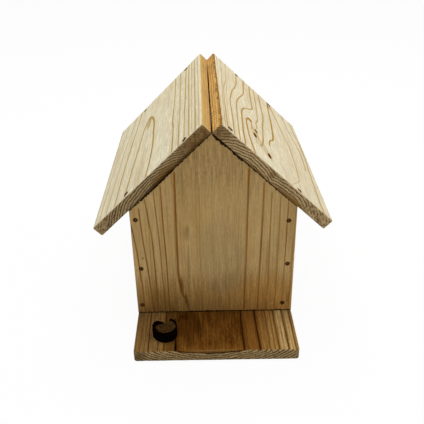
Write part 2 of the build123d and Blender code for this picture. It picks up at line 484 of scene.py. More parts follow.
def softwood(
    name, board, corners, pith, tones, lines, ends, heart=None, core=None, stains_and_shade=(), nails=(), edges=None,
    shaded_edges=(), darks_and_shade=(), coarse=EVEN,
):
    """The material of one board. pith is the place of the tree's heart, across the board and below its face.
    lines are the late wood, and ends the rings of the sawn ends, as end_grain takes them. heart draws the
    heartwood on the face, and core is half its width there and its tone on the ends. edges are the sawn
    long edges, as sawn_edge takes them, and the width of the worn lip beside them. dirt is painted shade,
    a dark line along an edge: its two corners, and its widths by the place across. smuts are darker parts
    of the ends, and along the lower edge of a roof end they are painted shade.
    coarse is how rough the wood looks by the place along it."""
    wood = Softwood(name, board, pith, tones)
    late = wood.late_wood(lines)
    sawn, arcs = wood.end_grain(darks_and_shade, core, **ends)
    end_on = wood.facing(board.along)
    end_face = end_on.rise(0.45, 0.8).largest(end_on.rise(0.1, 0.4) * wood.depth.rise(9.5, 11))
    colour = end_face.mix(wood.face(late, stains_and_shade, heart), sawn)
    relief = wood.fibre * 0.8 + late * 0.35 + end_face * (wood.speck * 2.0 - arcs * 0.8)
    if edges:
        lip, edge = edges
        frayed = wood.across - wood.grain(5, 16, shift=7.1) * 2.2
        worn = frayed.rise(lip + 0.3, lip - 0.3) * (1.0 - end_face)
        edge_face = wood.facing(board.across).rise(0.5, 0.8).largest(worn)
        edge_colour, tooth = wood.sawn_edge(**edge)
        colour = edge_face.mix(colour, edge_colour)
        relief = relief + edge_face * tooth
    # A brown ring round each nail: rust, with painted shade of the dent round its head
    for place in nails:
        from_nail = oval(wood.across, wood.along, place, (1, 1)).root()
        colour = (from_nail + wood.speck * 1.6).rise(2.9, 1.9).mix(colour, RUST_AND_SHADE)
    # Painted shade: dark, ragged lines along the given edges, under the roof and along a panel's foot
    edge_shade = []
    for start, end, widths in shaded_edges:
        run = (Vector(corners[end]) - Vector(corners[start])).normalized()
        from_edge = (wood.along - corners[start][1]) * run.x - (wood.across - corners[start][0]) * run.y
        crumbs = wood.speck * 1.8 + wood.grain(2.4, 2.4, shift=5.5) * 3.0
        edge_shade.append((from_edge - wood.across.path(widths) - crumbs).rise(0.4, -0.3))
    if edge_shade:
        colour = strongest(edge_shade).mix(colour, DARK_SHADE_AND_JOINT)
    pores = wood.grain(1.2, 4, shift=4.1, detail=3.0)
    gouges = (wood.grain(1.0, 7, shift=8.8) - 0.12).largest(0.0)
    tooled = wood.fibre * 0.8 + wood.thread * 0.55 + pores * 0.45 - gouges * 0.8
    lift = 1.0 + tooled * wood.along.path(coarse)
    colour = colour.node("HueSaturation", {}, {"Value": lift, "Color": colour})
    rough = 0.66 + wood.fibre * 0.3 + end_face * 0.2
    coat(wood.material, colour, rough, relief, strength=0.4, height=0.6, shine=0.0)
    return wood.material


floor_low, floor_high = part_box("floor_board")
half_width = floor_high.x / MM
half_length = floor_high.y / MM
porch_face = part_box("front_panel")[0].y / MM
floor_top = Board((0, 0, BOARD), (1, 0, 0), (0, 1, 0), (0, 0, -1))
floor_corners = [
    (-half_width, -half_length),
    (half_width, -half_length),
    (half_width, half_length),
    (-half_width, half_length),
]
FLOOR_TONES = {
    "early wood": (0.46, 0.26, 0.078),
    "streaks": (0.26, 0.128, 0.03),
    "late wood": (0.042, 0.0125, 0.002),
    "sawn end": (0.42, 0.29, 0.135),
    "end rings": (0.075, 0.044, 0.016),
}
# Each line: strength, half width, and its places as along the board, then across it
FLOOR_LINES = [
    (1.0, 1.2, [(-165, 28.5), (-125, 27), (-96, 27.5), (0, 30), (160, 27)]),
    (0.95, 1.1, [(-165, 44), (-130, 42), (-96, 41.5), (0, 43), (160, 40)]),
    (0.5, 0.8, [(-165, 53), (-96, 52), (160, 51)]),
    (0.55, 0.7, [(-165, 57.5), (-96, 57), (160, 57)]),
    (0.65, 0.8, [(-165, 61.5), (-96, 60.5), (160, 62)]),
    (0.4, 0.7, [(-165, 66), (-96, 65.5), (160, 66)]),
    (0.6, 1.0, [(-165, 70), (-96, 69.5), (160, 69)]),
    (0.55, 0.9, [(-165, 77.5), (-96, 77), (160, 78)]),
    (1.0, 1.0, [(-170, -38.7), (-140, -39.5), (-110, -40.5), (-104, -41)]),
    (0.6, 0.7, [(-165, -50.5), (-96, -50), (160, -49)]),
    (0.45, 0.7, [(-165, -56.5), (-96, -56), (160, -55)]),
    (0.4, 0.6, [(-165, -61), (-96, -61.5), (160, -60)]),
    (0.6, 0.8, [(-165, -65.5), (-96, -66), (160, -67)]),
    (0.4, 0.6, [(-165, -70), (-96, -69.5), (160, -72)]),
    (0.5, 0.7, [(-165, -74), (-96, -73.5), (160, -77)]),
]
# Each patch: tone, strength, its place as across the board, then along it, and its half sizes. The
# first, the fourth and the fifth, dark round the branch slice, are painted shade that it casts on the porch.
FLOOR_STAINS_AND_SHADE = [
    ((0.075, 0.025, 0.003), 0.7, (-28, -120), (24, 32)),
    ((0.23, 0.097, 0.017), 0.65, (-4, -157), (46, 14)),
    ((0.36, 0.21, 0.07), 0.7, (2, -153.3), (36, 1.3)),
    ((0.035, 0.011, 0.0015), 0.5, (-17, -118), (4, 16)),
    ((0.030, 0.009, 0.0012), 0.5, (-31, -103), (8, 6)),
    ((0.004, 0.0015, 0.0005), 1.0, (-39.2, -149), (1.6, 15)),
]
DULL_SAPWOOD = (0.23, 0.127, 0.04)
PALE_SAPWOOD = (0.62, 0.42, 0.17)
HEART_PALE = (0.20, 0.083, 0.0135)
HEART_DARK = (0.09, 0.03, 0.0038)
# The heartwood's rim left of the crack: a darker brown, with painted shade of the branch slice that stands on
# it made part of its tone
HEART_RIM_SHADED = (0.15, 0.068, 0.0135)
HEART_FADED = (0.235, 0.10, 0.019)
HEART_SAWN = (0.17, 0.082, 0.0195)


def heartwood(wood, colour):
    """The brown middle of the floor board. It fades in streaks to the right, beside two pale bands."""
    place = wood.traced
    colour = (place.rise(-50, -58) * 0.85).mix(colour, DULL_SAPWOOD)
    pale = place.rise(62, 63.5) * place.rise(69, 68) + place.rise(71, 72) * place.rise(76.5, 75.5)
    colour = (pale * 0.85).mix(colour, PALE_SAPWOOD)
    left = (place + wood.grain(3, 150, shift=2.4) * 6).rise(-57, -48)
    right = (place + wood.grain(3, 200, shift=4.4) * 14).rise(56, 41)
    mottled = wood.grain(9, 35, shift=8.0, detail=3.0) * 1.8 + wood.grain(1.8, 30, shift=1.0, detail=3.0)
    mottled = mottled + wood.grain(1.6, 5, shift=3.0, detail=3.0)
    brown = (mottled + 0.45).rise(0.0, 1.0).mix(HEART_PALE, HEART_DARK)
    # left of the crack the heartwood takes the rim's tone, which holds painted shade of the branch slice
    brown = place.rise(-40.5, -38.5).mix(HEART_RIM_SHADED, brown)
    fade = (place + wood.grain(2.5, 160, shift=6.4) * 10).rise(26, 31)
    return (left * right).mix(colour, fade.mix(brown, HEART_FADED))


AT_FACE = 0.3  # a nail head's points lie no deeper than this
HEAD_WIDTH = 4.0


def nail_places(node, board):
    """Where the heads of a group of nails stand on a board, across and along it."""
    heads = []
    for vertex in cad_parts[node].data.vertices:
        offset = (vertex.co - board.origin) / MM
        if offset.dot(board.inward) < AT_FACE:
            place = Vector((offset.dot(board.across), offset.dot(board.along)))
            near = [head for head in heads if (head[0] - place).length < HEAD_WIDTH]
            if near:
                near[0].append(place)
            else:
                heads.append([place])
    middles = []
    for head in heads:
        middles.append(tuple((max(p[i] for p in head) + min(p[i] for p in head)) / 2 for i in (0, 1)))
    return middles


floor_under = Board((0, 0, 0), (1, 0, 0), (0, 1, 0), (0, 0, 1))
floor_nails = nail_places("floor_nails", floor_under)
floor_board = plank(
    "floor_board_piece",
    floor_top,
    floor_corners,
    back_nails=floor_nails,
    chips=[((0, -half_length), 110.0, 0.9)],
    corner=3.0,
)
floor_wood = softwood(
    "floor_wood",
    floor_top,
    floor_corners,
    pith=(-6.0, -225.0),
    tones=FLOOR_TONES,
    lines=FLOOR_LINES,
    ends={"spacing": 2.8, "middle": -6.0, "reach": -100.0},
    heart=heartwood,
    core=(33.5, HEART_SAWN),
    darks_and_shade=[((0.10, 0.058, 0.022), 0.6, (-79, 6), (15, 10))],
    coarse=((-500, 1.9), (500, 1.9)),
    stains_and_shade=FLOOR_STAINS_AND_SHADE,
)
dress(floor_board, floor_wood, "floor_wood", "floor_board")


# Side walls
# Two boards on edge between the gables, with the grain along the house. Their tops are bevelled to the
# roof, and nails through the gables and the floor hold them.

EAVE_HEIGHT = 136.0
APEX_HEIGHT = 213.0
pitch = math.atan2(APEX_HEIGHT - EAVE_HEIGHT, half_width)
WALL_TONES = {
    "early wood": (0.562, 0.379, 0.16),
    "streaks": (0.484, 0.307, 0.113),
    "late wood": (0.235, 0.097, 0.0185),
    "sawn end": (0.42, 0.29, 0.14),
    "end rings": (0.12, 0.075, 0.03),
}
WALL_LINE_HEIGHTS = (19, 26, 31, 39, 44, 53, 66, 98, 109, 117, 123, 130)
for side, across in (("left", -1), ("right", 1)):
    wall_low, wall_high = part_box(f"{side}_side_wall")
    wall_face = Board((across * half_width, 0, 0), (0, 0, 1), (0, 1, 0), (-across, 0, 0))
    near = wall_low.y / MM
    far = wall_high.y / MM
    wall_corners = [(BOARD, near), (EAVE_HEIGHT, near), (EAVE_HEIGHT, far), (BOARD, far)]
    wall = plank(f"{side}_wall_piece", wall_face, wall_corners, bevel=((-1, 0), math.tan(pitch)))
    wall_lines = []
    for i, height in enumerate(WALL_LINE_HEIGHTS):
        lift = 3.0 * across
        places = [(-85, height - lift), (-20, height), (60, height + lift), (143, height + 0.4 * lift)]
        wall_lines.append((0.45 + 0.25 * (i % 2), 1.0 + 0.3 * (i % 3), places))
    wall_wood = softwood(
        f"{side}_wall_wood",
        wall_face,
        wall_corners,
        pith=(82.0, 95.0),
        tones=WALL_TONES,
        lines=wall_lines,
        ends={"spacing": 2.6, "middle": 82.0, "reach": 80.0},
    )
    dress(wall, wall_wood, "panel_wood", f"{side}_side_wall")


# Gable panels
# Five-sided boards with upright grain that close the ends of the house. Each has three nails down either
# side, into the side walls. The one at the far end has the round entrance hole.

gable_corners = [
    (-half_width, BOARD),
    (half_width, BOARD),
    (half_width, EAVE_HEIGHT),
    (0, APEX_HEIGHT),
    (-half_width, EAVE_HEIGHT),
]
rear_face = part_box("rear_panel")[1].y / MM
front_panel_face = Board((0, porch_face, 0), (1, 0, 0), (0, 0, 1), (0, 1, 0))
rear_panel_face = Board((0, rear_face, 0), (-1, 0, 0), (0, 0, 1), (0, -1, 0))
# Each line: strength, half width, and its places as height, then across the panel
FRONT_LINES = [
    (0.8, 0.9, [(12, -72.5), (50, -73.5), (80, -75), (110, -78), (122, -80)]),
    (0.85, 0.9, [(12, -63.5), (50, -65), (80, -67), (105, -69), (140, -70.5)]),
    (0.75, 0.8, [(12, -58.5), (50, -58.5), (80, -59), (105, -60), (125, -62), (150, -64.5)]),
    (0.75, 0.8, [(12, -51), (60, -52), (95, -52.5), (125, -54), (160, -55.5)]),
    (0.8, 0.9, [(12, -46), (50, -46.5), (80, -47), (120, -48), (165, -48.5)]),
    (0.9, 1.3, [
        (12, -26.6), (20, -27), (28, -28), (32, -30.5), (42, -33), (55, -35), (80, -35.5), (178, -35),
    ]),
    (0.68, 1.2, [(12, 31.5), (50, 32), (90, 32.5), (140, 33), (180, 33.5)]),
    (0.7, 1.1, [(12, 45), (40, 45.5), (80, 46.5), (120, 47.5), (165, 48)]),
    (0.5, 0.9, [(12, 53), (40, 54), (80, 54.5), (110, 55), (155, 56)]),
    (0.58, 0.9, [(12, 62), (60, 63), (110, 63.5), (150, 64)]),
    (0.5, 0.8, [(12, 69.5), (50, 70), (100, 71), (145, 72)]),
    (0.5, 0.8, [(12, 77), (60, 78), (136, 79)]),
]
# The first two darken the panel over its top and over its foot: painted shade under the roof and above the
# porch
FRONT_STAINS_AND_SHADE = [
    ((0.37, 0.232, 0.088), 0.6, (0, 214), (110, 75)),
    ((0.33, 0.167, 0.036), 0.8, (0, 0), (170, 75)),
    ((0.20, 0.10, 0.022), 0.5, (-66, 18), (36, 40)),
    ((0.49, 0.255, 0.066), 0.7, (52, 20), (48, 48)),
    ((0.40, 0.255, 0.098), 0.35, (82, 112), (25, 44)),
    ((0.425, 0.30, 0.137), 0.5, (8, 82), (32, 56)),
    ((0.25, 0.165, 0.065), 0.45, (0, 46), (5, 13)),
    ((0.25, 0.165, 0.065), 0.4, (19, 52), (5, 15)),
    ((0.27, 0.20, 0.095), 0.3, (25, 60), (3.5, 50)),
    ((0.15, 0.063, 0.013), 0.9, (-29.0, 28), (1.8, 11)),
    ((0.19, 0.08, 0.018), 0.9, (-33.0, 46), (2.8, 16)),
    ((0.26, 0.15, 0.045), 0.6, (-26, 110), (4, 11)),
    ((0.30, 0.19, 0.07), 0.5, (-28, 160), (2.2, 28)),
    ((0.28, 0.17, 0.055), 0.5, (-25, 62), (2.6, 44)),
    ((0.10, 0.05, 0.015), 0.9, (-70.5, 81), (1.2, 1.5)),
    ((0.10, 0.05, 0.015), 0.8, (-80, 116), (2.2, 7)),
]
# Each chip: its place on the edge, its reach, and its depth
FRONT_CHIPS = [((-half_width, 117), 5.0, 1.6), ((-half_width, 112), 2.5, 0.9), ((half_width, 84), 4.0, 0.5)]
# Painted shade: a dark, ragged line down each sawn slope under the roof, and one along the foot above the
# porch
FRONT_SHADED_EDGES = [
    (2, 3, [(0, 0.9), (4, 2.1), (9, 2.2), (15, 1.5), (23, 2.0), (30, 1.0), (55, 0.9), (80, 0.6)]),
    (3, 4, [(-80, 0.7), (-66, 1.3), (-54, 1.8), (-42, 1.6), (-30, 1.0), (-10, 0.8), (0, 0.8)]),
    (0, 1, [(-80, 1.6), (-40, 1.3), (-10, 1.7), (40, 1.4), (80, 1.6)]),
]
front_nails = nail_places("front_panel_nails", front_panel_face)
front_panel = plank(
    "front_panel_piece",
    front_panel_face,
    gable_corners,
    nails=front_nails,
    chips=FRONT_CHIPS,
)
front_wood = softwood(
    "front_panel_wood",
    front_panel_face,
    gable_corners,
    pith=(-1.0, 60.0),
    tones=WALL_TONES,
    lines=FRONT_LINES,
    ends={"spacing": 2.6, "middle": -1.0, "reach": 60.0},
    coarse=((12, 1.9), (55, 1.25), (90, 0.85), (140, 0.85), (170, 1.35), (213, 1.8)),
    stains_and_shade=FRONT_STAINS_AND_SHADE,
    nails=front_nails,
    shaded_edges=FRONT_SHADED_EDGES,
)
dress(front_panel, front_wood, "panel_wood", "front_panel")

ENTRANCE = ((0.0, 142.0), 16.0)  # the middle and radius of the hole
REAR_LINE_PLACES = (-77, -71, -66, -58, -52, -44, -31, 36, 45, 51, 58, 64, 70, 76)
rear_lines = []
for i, place in enumerate(REAR_LINE_PLACES):
    drift = 2.5 - 0.4 * (i % 4)
    places = [(12, place - drift * 0.6), (70, place), (130, place + drift * 0.5), (215, place + drift)]
    rear_lines.append((0.5 + 0.2 * (i % 2), 1.0 + 0.3 * (i % 2), places))
rear_nails = nail_places("rear_panel_nails", rear_panel_face)
rear_panel = plank("rear_panel_piece", rear_panel_face, gable_corners, nails=rear_nails, bore=ENTRANCE)
rear_wood = softwood(
    "rear_panel_wood",
    rear_panel_face,
    gable_corners,
    pith=(3.0, 55.0),
    tones=WALL_TONES,
    lines=rear_lines,
    ends={"spacing": 2.6, "middle": 3.0, "reach": 55.0},
    nails=rear_nails,
    # painted shade along the panel's foot
    shaded_edges=[(0, 1, [(-80, 0.8), (0, 0.6), (80, 0.8)])],
)
dress(rear_panel, rear_wood, "panel_wood", "rear_panel")


# Roof boards
# Two pale flat-sawn boards on the gables, cut square, so that they meet at the ridge in a groove. Two
# nails at each end of a board hold it to the gable panels.

ROOF_TONES = {
    "left": {
        "early wood": (0.745, 0.68, 0.488),
        "streaks": (0.685, 0.598, 0.41),
        "late wood": (0.41, 0.24, 0.028),
        "sawn end": (0.44, 0.31, 0.152),
        "end rings": (0.085, 0.05, 0.02),
    },
    "right": {
        "early wood": (0.735, 0.66, 0.468),
        "streaks": (0.69, 0.585, 0.39),
        "late wood": (0.40, 0.218, 0.022),
        "sawn end": (0.575, 0.41, 0.202),
        "end rings": (0.125, 0.075, 0.029),
    },
}
# Each line: strength, half width, and its places as distance from the rear edge, then down the slope
ROOF_LINES = {
    "left": [
        (0.5, 1.0, [(0, 5.5), (70, 5), (110, 4.5), (251, 4)]),
        (0.65, 1.1, [(0, 10), (110, 9.5), (180, 9), (251, 8.5)]),
        (0.45, 0.9, [(0, 15), (120, 14.3), (251, 13)]),
        (0.7, 1.1, [(0, 20), (60, 19.5), (110, 19), (200, 17.5), (251, 17)]),
        (0.65, 1.1, [(0, 25.5), (60, 25), (110, 24.5), (180, 24), (251, 23)]),
        (0.65, 1.1, [(0, 36), (60, 34.5), (110, 33), (150, 32), (251, 31)]),
        (0.7, 1.3, [(0, 45.5), (60, 43), (120, 42.5), (165, 42), (190, 40), (251, 39)]),
        (0.85, 1.6, [(65, 86), (75, 82), (88, 79), (100, 77), (130, 75), (170, 72.5), (200, 72), (251, 75)]),
        (0.75, 1.5, [(65, 86), (75, 91), (90, 94), (110, 95.5), (150, 98), (190, 101), (251, 103.5)]),
        (0.7, 1.4, [(0, 109), (50, 111), (90, 113.5), (120, 115), (160, 117), (251, 119)]),
        (0.45, 1.8, [(0, 120), (55, 123), (85, 126), (110, 128), (140, 129), (251, 131)]),
        (0.4, 1.4, [(0, 134), (70, 137), (100, 138.5), (130, 140.5), (251, 141.5)]),
        (0.35, 1.4, [(0, 146), (60, 148), (251, 149)]),
    ],
    "right": [
        (0.35, 0.9, [(0, 5.5), (60, 5), (130, 3.5), (251, 3)]),
        (0.45, 1.1, [(0, 11), (80, 10), (140, 8), (251, 6)]),
        (0.5, 1.2, [(0, 20), (75, 17), (100, 14), (130, 10.5), (251, 9)]),
        (0.35, 1.0, [(0, 28), (50, 23), (80, 19), (110, 16), (150, 13), (251, 12)]),
        (0.7, 1.1, [(0, 40), (50, 36), (80, 31), (100, 26), (125, 22), (150, 19), (200, 18), (251, 17)]),
        (0.75, 1.1, [(0, 53), (30, 50), (70, 46), (90, 41), (110, 35), (140, 29), (165, 27), (251, 24)]),
        (0.8, 1.25, [
            (0, 64), (70, 58), (100, 57), (112, 53), (122, 47), (135, 40), (150, 36), (200, 32), (251, 31),
        ]),
        (0.9, 1.35, [(156, 46), (159, 43.5), (164, 41.5), (175, 40), (200, 39), (220, 40), (251, 44)]),
        (0.8, 1.2, [(156, 46), (160, 48), (170, 48), (186, 45)]),
        (0.65, 1.2, [(0, 71), (70, 67), (100, 64), (130, 62), (150, 57), (170, 56)]),
        (0.75, 1.3, [(0, 81), (60, 77), (100, 75), (130, 70), (150, 67), (175, 64), (190, 62), (217, 54)]),
        (0.95, 1.5, [(0, 98), (30, 94), (60, 92), (90, 90), (120, 87), (145, 84), (160, 80.5)]),
        (1.0, 1.2, [(145, 84), (156, 82), (163, 78), (170, 75), (180, 72.8), (190, 72)]),
        (0.45, 0.9, [(180, 72.5), (195, 73), (208, 76), (218, 81), (230, 89)]),
        (0.65, 1.4, [(0, 99), (25, 102), (60, 106), (100, 110), (130, 113), (170, 112), (212, 109)]),
        (0.4, 0.9, [(204, 109.5), (214, 108.5), (222, 106), (230, 102), (238, 97), (251, 91)]),
        (0.5, 1.9, [(0, 124), (40, 125), (80, 130), (110, 135), (140, 134), (165, 129)]),
        (0.6, 1.5, [(0, 138), (40, 140), (80, 143), (120, 142), (160, 139), (200, 137), (251, 135)]),
    ],
}
# Each stain: tone, strength, its place as down the slope, then from the rear edge, and its half sizes
ROOF_STAINS = {
    "left": [
        ((0.50, 0.34, 0.135), 0.8, (87, 82), (6.5, 24)),
        ((0.44, 0.25, 0.03), 1.2, (86, 69), (2.8, 7)),
        ((0.57, 0.44, 0.24), 0.5, (85, 215), (12, 50)),
    ],
    "right": [
        ((0.50, 0.32, 0.12), 0.4, (57, 205), (10, 20)),
        ((0.33, 0.165, 0.006), 1.6, (46.5, 157.5), (3.4, 5.5)),
        ((0.52, 0.32, 0.08), 0.6, (51, 187), (6.0, 20)),
        ((0.52, 0.32, 0.08), 0.5, (65.5, 220), (6.5, 14)),
        ((0.17, 0.075, 0.002), 2.0, (53, 178), (2.4, 6.0)),
        ((0.10, 0.038, 0.001), 2.0, (49.5, 195), (3.0, 6.5)),
        ((0.09, 0.034, 0.001), 2.0, (65.5, 221), (3.0, 6.5)),
        ((0.28, 0.13, 0.03), 0.7, (97, 10), (4.0, 24)),
    ],
}
# Half sizes of the dark patch round each roof nail: rust, with painted shade of its dent
NAIL_PATCH_SIZE = (3.4, 4.2)
ROOF_PITH = {"left": (84.0, 95.0), "right": (72.0, 110.0)}
ROOF_ENDS = {
    "left": {"spacing": 2.4, "middle": 80.0, "reach": 82.0, "shown": (30, 132)},
    "right": {"spacing": 2.7, "middle": 72.0, "reach": 58.0, "fork": 23.0, "shown": (8, 116)},
}
# Each dark patch: tone, strength, its place as down the slope and below the face, and its half sizes.
# Those along the lower edge of an end are painted shade where the roof end sits on the gable.
ROOF_DARKS_AND_SHADE = {
    "left": [
        ((0.15, 0.066, 0.008), 0.6, (8, 8), (36, 12)),
        ((0.19, 0.095, 0.02), 0.75, (58, 9), (24, 5)),
        ((0.06, 0.026, 0.004), 0.95, (30, 13.5), (44, 6.0)),
        ((0.045, 0.02, 0.004), 0.95, (80, 13.5), (46, 5.5)),
    ],
    "right": [
        ((0.15, 0.076, 0.018), 0.65, (3, 6), (16, 14)),
        ((0.17, 0.087, 0.02), 0.5, (69, 3), (4.5, 9)),
        ((0.21, 0.105, 0.022), 0.95, (99, 11.5), (31, 5)),
        ((0.16, 0.08, 0.018), 0.75, (52, 12.2), (24, 3.4)),
        ((0.035, 0.017, 0.005), 0.8, (26, 12.6), (40, 1.8)),
    ],
}
# The sawn edges at the ridge: the width of the worn lip, the tones, and how strongly the saw's marks show
ROOF_EDGES = {
    "left": (0.3, {"tone": (0.57, 0.37, 0.132), "mark_tone": (0.38, 0.205, 0.055), "marks": 0.2}),
    "right": (1.9, {"tone": (0.78, 0.495, 0.175), "mark_tone": (0.25, 0.118, 0.023), "marks": 0.8}),
}
# Each chip of a ridge edge: distance from the rear, reach and depth
RIDGE_CHIPS = {
    "left": [(30, 6, 0.3), (200, 8, 0.3)],
    "right": [
        (18, 9, 0.6), (48, 12, 0.8), (66, 5, 0.5), (92, 10, 0.7),
        (118, 8, 0.5), (150, 12, 0.6), (228, 9, 0.4),
    ],
}
RIDGE_OVERLAP = 0.06  # the two boards touch
front_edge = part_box("left_roof_board")[0].y / MM
roof_length = rear_face - front_edge
roof_faces = {}
for side, across in (("left", -1), ("right", 1)):
    outward = Vector((across * math.sin(pitch), 0, math.cos(pitch)))
    downhill = Vector((across * math.cos(pitch), 0, -math.sin(pitch)))
    ridge = Vector((0, rear_face, APEX_HEIGHT)) + outward * BOARD
    roof_top = Board(ridge, downhill, (0, -1, 0), -outward)
    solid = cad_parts[f"{side}_roof_board"]
    down = [(vertex.co - roof_top.origin).dot(downhill) / MM for vertex in solid.data.vertices]
    meeting = min(down) - RIDGE_OVERLAP
    roof_corners = [(meeting, 0), (max(down), 0), (max(down), roof_length), (meeting, roof_length)]
    roof_nails = nail_places(f"{side}_roof_nails", roof_top)
    roof = plank(
        f"{side}_roof_piece",
        roof_top,
        roof_corners,
        nails=roof_nails,
        chips=[((meeting, from_rear), reach, depth) for from_rear, reach, depth in RIDGE_CHIPS[side]],
        sharp=(1, 0),
        ease=0.95,
    )
    roof_wood = softwood(
        f"{side}_roof_wood",
        roof_top,
        roof_corners,
        pith=ROOF_PITH[side],
        tones=ROOF_TONES[side],
        lines=ROOF_LINES[side],
        # each roof nail sits in a dark patch: rust, with painted shade of its dent
        stains_and_shade=ROOF_STAINS[side] + [(RUST_AND_SHADE, 1.6, place, NAIL_PATCH_SIZE) for place in roof_nails],
        nails=roof_nails,
        ends=ROOF_ENDS[side],
        edges=ROOF_EDGES[side],
        darks_and_shade=ROOF_DARKS_AND_SHADE[side],
    )
    dress(roof, roof_wood, "roof_wood", f"{side}_roof_board")
    roof_faces[side] = (roof_top, roof_nails)


# Nails
# Round wire nails of dull steel, driven in by hand with their heads just under the wood. Rust has
# browned them.

# From the middle of the head to the point: radius, and depth below the face
NAIL_PROFILE = [
    (0.0, 0.1), (0.7, 0.13), (1.15, 0.22), (1.42, 0.4), (1.5, 0.62), (1.45, 0.95),
    (0.8, 1.05), (0.8, 29.5), (0.0, 32.0),
]
NAIL_POINTS = 20
HEAD_TILT = 0.12
RUST_PALE = (0.16, 0.085, 0.028)
RUST_DARK = (0.045, 0.019, 0.005)
nail_steel, spot = surface("nail_steel")
flake = spot.node("TexNoise", {}, {"Vector": spot, "Scale": 900.0, "Detail": 3.0})
brown = flake.rise(0.42, 0.58)
rust = brown.mix(RUST_PALE, RUST_DARK)
coat(nail_steel, rust, 0.5 + brown * 0.3, flake, strength=0.4, height=0.2, shine=0.02)


def tube(first, rings, around):
    """Faces between rings of points, each ring closed on itself."""
    faces = []
    for ring in range(rings - 1):
        for i in range(around):
            here = first + ring * around + i
            there = first + ring * around + (i + 1) % around
            faces.append((here, there, there + around, here + around))
    return faces


def close_up(mesh):
    """Joins the points that fall together, and turns every face outward."""
    shape = bmesh.new()
    shape.from_mesh(mesh)
    bmesh.ops.remove_doubles(shape, verts=shape.verts, dist=1e-6)
    bmesh.ops.recalc_face_normals(shape, faces=shape.faces)
    shape.to_mesh(mesh)
    shape.free()


def drive(name, board, places, node):
    """A group of nails in one board, each a little out of square."""
    verts = []
    faces = []
    for a, b in places:
        faces += tube(len(verts), len(NAIL_PROFILE), NAIL_POINTS)
        tilt = Vector((noise.noise(Vector((a, b, 1.5))), noise.noise(Vector((b, a, 7.5))))) * HEAD_TILT
        for radius, depth in NAIL_PROFILE:
            for i in range(NAIL_POINTS):
                turn = 2 * math.pi * i / NAIL_POINTS
                rim = Vector((math.cos(turn), math.sin(turn))) * radius
                lean = rim.dot(tilt) if depth < 1 else 0.0
                verts.append(board.point(a + rim.x, b + rim.y, depth + lean))
    piece = new_piece(name, verts, faces)
    close_up(piece.data)
    piece.data.shade_smooth()
    dress(piece, nail_steel, "nail_steel", node)


nailed = {
    "front_panel": (front_panel_face, front_nails),
    "rear_panel": (rear_panel_face, rear_nails),
    "left_roof": roof_faces["left"],
    "right_roof": roof_faces["right"],
    "floor": (floor_under, floor_nails),
}
for held, (board, places) in nailed.items():
    drive(f"{held}_nail_heads", board, places, f"{held}_nails")


# Slice of branch
# A short slice cut from a branch, still in its dark bark, glued to the porch. The bark has split open and
# curls in beside the split, and the sawn face shows the branch's rings.

LOG_MIDDLE = Vector((-50.4, porch_face - 35.0))
BARK_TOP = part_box("log_bark")[1].z / MM
WOOD_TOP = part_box("log_slice")[1].z / MM - 0.6  # the sawn face has dried hollow
# Outlines from above, in step with each other, from the curled lip round the front to the other lip
BARK_OUTSIDE = [
    (4.5, 8.7), (5.2, 10.7), (7.2, 11.0), (11.4, 6.2), (12.4, -1.0), (8.0, -8.3), (-1.0, -10.5), (-9.4, -5.6),
    (-12.2, 1.0), (-11.3, 5.6), (-8.4, 8.6), (-4.6, 7.5), (-0.7, 6.2),
]
BARK_INSIDE = [
    (5.3, 8.3), (5.9, 9.2), (7.2, 9.6), (10.2, 5.4), (11.2, -0.9), (6.9, -7.3), (-0.8, -9.3), (-6.8, -5.4),
    (-8.9, 0.8), (-8.0, 2.8), (-6.0, 4.4), (-3.4, 5.2), (-0.9, 5.3),
]
WOOD_OUTLINE = BARK_INSIDE + [(2.0, 7.3), (4.4, 7.9)]
BARK_ROWS = 14  # up the outside of the bark
BARK_THICKNESS = 1.8
BARK_STEPS = 12  # between two points of an outline
WOOD_STEPS = 8


def flowing(points, steps, closed):
    """A smooth line through points."""
    count = len(points)
    line = []
    for i in range(count if closed else count - 1):
        if closed:
            knots = [Vector(points[(i + k) % count]) for k in (-1, 0, 1, 2)]
        else:
            knots = [Vector(points[min(max(i + k, 0), count - 1)]) for k in (-1, 0, 1, 2)]
        before, start, end, after = knots
        slope = end - before
        bend = 2 * before - 5 * start + 4 * end - after
        swing = 3 * start - before - 3 * end + after
        for j in range(steps):
            t = j / steps
            line.append(start + (slope * t + (bend * t * t + swing * t ** 3)) / 2)
    return line if closed else line + [Vector(points[-1])]


outside = flowing(BARK_OUTSIDE, BARK_STEPS, closed=False)
inside_line = flowing(BARK_INSIDE, BARK_STEPS, closed=False)
verts = []
for k, (out, back) in enumerate(zip(outside, inside_line)):
    rim = BARK_TOP - 0.6 * abs(noise.noise(Vector((k * 0.21, 2.0, 0)))) - 0.05
    for j in range(BARK_ROWS + 1):
        height = BOARD + (rim - BOARD) * j / BARK_ROWS
        furrow = noise.noise(Vector((k * 0.45, height * 0.22, 1.0)))
        furrow += 0.6 * noise.noise(Vector((k * 1.1, height * 0.6, 5.0)))
        inset = 0.12 + 0.42 * max(-0.3, furrow) * (0.4 if j == BARK_ROWS else 1.0)
        place = LOG_MIDDLE + out.lerp(back, min(0.8, max(0.0, inset / BARK_THICKNESS)))
        verts.append(Vector((place.x, place.y, height)) * MM)
    place = LOG_MIDDLE + back
    for j in (BARK_ROWS, BARK_ROWS // 2, 0):
        height = BOARD + (rim - BOARD) * j / BARK_ROWS
        verts.append(Vector((place.x, place.y, height - (0.15 if j == BARK_ROWS else 0.0))) * MM)
around = len(verts) // len(outside)
faces = tube(0, len(outside), around)
faces.append(list(range(around)))
faces.append(list(range(len(verts) - around, len(verts))))
bark_piece = new_piece("log_bark_piece", verts, faces)
close_up(bark_piece.data)
bark_piece.data.shade_smooth()

